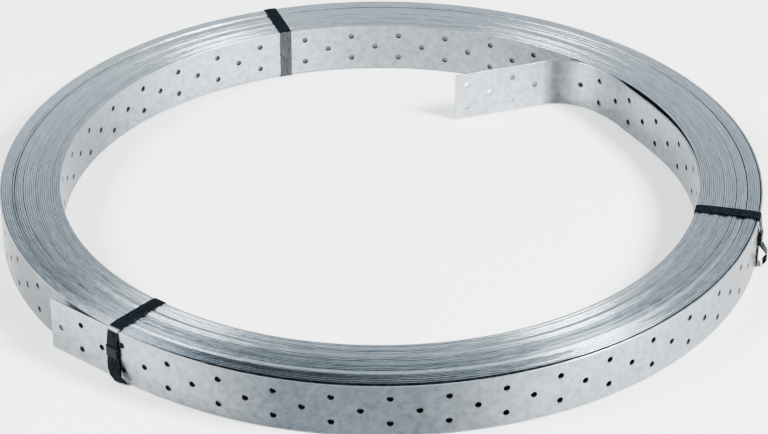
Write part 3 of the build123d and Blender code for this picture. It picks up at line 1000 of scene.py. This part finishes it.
class CoilColours(bpy.types.PropertyGroup):
    """The colours of every finish."""
    zinc_light: bpy.props.FloatVectorProperty(
        name="Light zinc", description="The lighter flakes of the band's faces",
        default=(0.435, 0.483, 0.513), subtype="COLOR", min=0.0, max=1.0)
    zinc_dark: bpy.props.FloatVectorProperty(
        name="Dark zinc", description="The darker flakes of the band's faces",
        default=(0.308, 0.345, 0.374), subtype="COLOR", min=0.0, max=1.0)
    edge_light: bpy.props.FloatVectorProperty(
        name="Light edge", description="The lighter streaks of the band's edges",
        default=(0.61, 0.69, 0.76), subtype="COLOR", min=0.0, max=1.0)
    edge_dark: bpy.props.FloatVectorProperty(
        name="Dark edge", description="The darker streaks of the band's edges",
        default=(0.37, 0.425, 0.47), subtype="COLOR", min=0.0, max=1.0)
    # how much of the zinc's colour is left under the heaviest painted shade
    zinc_painted_shade: bpy.props.FloatVectorProperty(
        name="Dull zinc", description="How much of the zinc's colour is left where it is dullest",
        default=(0.14, 0.15, 0.16), subtype="COLOR", min=0.0, max=1.0)
    # torn steel, darkened as painted shade inside the holes
    hole: bpy.props.FloatVectorProperty(
        name="Hole wall", description="The punched walls of the holes",
        default=(0.05, 0.055, 0.06), subtype="COLOR", min=0.0, max=1.0)
    hole_light: bpy.props.FloatVectorProperty(
        name="Light hole wall", description="The brighter grains of the holes' walls",
        default=(0.14, 0.15, 0.16), subtype="COLOR", min=0.0, max=1.0)
    strap: bpy.props.FloatVectorProperty(
        name="Strap", description="The straps' lacquer",
        default=(0.0008, 0.0015, 0.0022), subtype="COLOR", min=0.0, max=1.0)
    # lighter bare steel for wear, also painted in as a glint at a bend and a lit face under a tail
    strap_worn_and_lit: bpy.props.FloatVectorProperty(
        name="Worn bends", description="Bare steel where a strap bends sharply",
        default=(0.20, 0.22, 0.235), subtype="COLOR", min=0.0, max=1.0)
    strap_scuff: bpy.props.FloatVectorProperty(
        name="Strap scuffs", description="Where the lacquer is rubbed",
        default=(0.008, 0.011, 0.014), subtype="COLOR", min=0.0, max=1.0)
    seal_light: bpy.props.FloatVectorProperty(
        name="Light seal", description="The seals' scratches",
        default=(0.007, 0.008, 0.009), subtype="COLOR", min=0.0, max=1.0)
    seal_dark: bpy.props.FloatVectorProperty(
        name="Dark seal", description="The seals' steel",
        default=(0.0015, 0.002, 0.0025), subtype="COLOR", min=0.0, max=1.0)
    floor: bpy.props.FloatVectorProperty(
        name="Floor", description="The pale floor",
        default=(0.94, 0.94, 0.94), subtype="COLOR", min=0.0, max=1.0)


class COIL_OT_wind_band(bpy.types.Operator):
    """Wind the perforated band"""
    bl_idname = "coil.wind_band"
    bl_label = "Wind the band"

    def execute(self, context):
        band, look = context.scene.coil_band, context.scene.coil_colours
        strip, along, painted_shade, corners = wind_band(band)
        finish = colour_steel(band, look)
        piece = finished("wound_steel_band", corners, strip.faces, finish)
        used = sorted({number for face in strip.faces for number in face})
        kept = piece.data.attributes.new("band_place", "FLOAT_VECTOR", "POINT")
        kept.data.foreach_set("vector", along[used].astype(np.float32).ravel())
        # the painted shade that darkens the zinc faces and the cut edges
        painted_shade_layer = piece.data.attributes.new("painted_shade", "FLOAT", "POINT")
        painted_shade_layer.data.foreach_set("value", painted_shade[used].astype(np.float32))
        piece.data.materials.append(colour_hole_walls(look))
        for number in strip.hole_walls:
            piece.data.polygons[number].material_index = 1
        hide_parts("steel_band")
        return {"FINISHED"}


class COIL_OT_fit_straps(bpy.types.Operator):
    """Finish the straps and their seals"""
    bl_idname = "coil.fit_straps"
    bl_label = "Fit the straps"

    def execute(self, context):
        band, strap, look = context.scene.coil_band, context.scene.coil_strap, context.scene.coil_colours
        winding = Winding(band)
        lacquer, steel = colour_strap(look), colour_seal(look)
        for name, place in STRAPS.items():
            rows, rubbed = strap_line(winding, place, band, strap)
            points, faces = strap_shape(rows, strap)
            piece = finished("tied_strap_" + name, stand(points, place.angle), faces, lacquer)
            rub = piece.data.attributes.new("rub", "FLOAT", "POINT")
            rub.data.foreach_set("value", np.repeat(rubbed, len(points) // len(rows)).astype(np.float32))
            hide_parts("strap_" + name)
            hidden_end = rows[-1][0]
            points, faces = seal_shape(hidden_end, strap)
            piece = finished("crimped_seal_" + name, stand(points, place.angle), faces, steel)
            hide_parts("seal_" + name)
        return {"FINISHED"}


class COIL_OT_set_stage(bpy.types.Operator):
    """Set the floor, the lights and the camera"""
    bl_idname = "coil.set_stage"
    bl_label = "Set the stage"

    def execute(self, context):
        look = context.scene.coil_colours
        mesh = bpy.data.meshes.new("pale_floor")
        signs = ((-1, -1), (1, -1), (1, 1), (-1, 1))
        mesh.from_pydata([(x * FLOOR_HALF, y * FLOOR_HALF, 0) for x, y in signs], [], [(0, 1, 2, 3)])
        mesh.materials.append(colour_floor(look))
        floor = bpy.data.objects.new("pale_floor", mesh)
        context.scene.collection.objects.link(floor)

        light_studio(context.scene)
        turn, lift = math.radians(CAMERA_TURN), math.radians(CAMERA_ELEVATION)
        back = Vector((math.cos(turn) * math.cos(lift), math.sin(turn) * math.cos(lift), math.sin(lift)))
        camera = bpy.data.cameras.new("photo_camera")
        camera.lens = CAMERA_LENS
        camera.sensor_width = CAMERA_SENSOR
        camera.shift_x, camera.shift_y = CAMERA_SHIFT
        seen = bpy.data.objects.new("photo_camera", camera)
        seen.location = Vector((AXIS_X, AXIS_Y, CAMERA_TARGET_HEIGHT)) + back * CAMERA_DISTANCE
        seen.rotation_euler = (-back).to_track_quat("-Z", "Y").to_euler()
        context.scene.collection.objects.link(seen)
        context.scene.camera = seen
        return {"FINISHED"}


class COIL_PT_panel(bpy.types.Panel):
    """The coil's sizes, colours and steps"""
    bl_idname = "COIL_PT_panel"
    bl_label = "Perforated Steel Coil"
    bl_space_type = "VIEW_3D"
    bl_region_type = "UI"
    bl_category = "Coil"

    def draw(self, context):
        for group in (context.scene.coil_band, context.scene.coil_strap, context.scene.coil_colours):
            for name in group.bl_rna.properties.keys():
                if name not in ("rna_type", "name"):
                    self.layout.prop(group, name)
        for step in STEPS:
            self.layout.operator(step.bl_idname)


STEPS = (COIL_OT_wind_band, COIL_OT_fit_straps, COIL_OT_set_stage)
GROUPS = {"coil_band": CoilBandSizes, "coil_strap": StrapSizes, "coil_colours": CoilColours}


def register():
    """Register the classes and give the scene its sizes and colours."""
    for shown in (*GROUPS.values(), *STEPS, COIL_PT_panel):
        bpy.utils.register_class(shown)
    for name, group in GROUPS.items():
        setattr(bpy.types.Scene, name, bpy.props.PointerProperty(type=group))


def unregister():
    """Take the sizes, the colours and the classes away again."""
    for name in GROUPS:
        delattr(bpy.types.Scene, name)
    for shown in (COIL_PT_panel, *reversed(STEPS), *GROUPS.values()):
        bpy.utils.unregister_class(shown)


def main():
    """Make every piece in order."""
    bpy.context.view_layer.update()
    register()
    bpy.ops.coil.wind_band()
    bpy.ops.coil.fit_straps()
    bpy.ops.coil.set_stage()


if __name__ == "__main__":
    main()
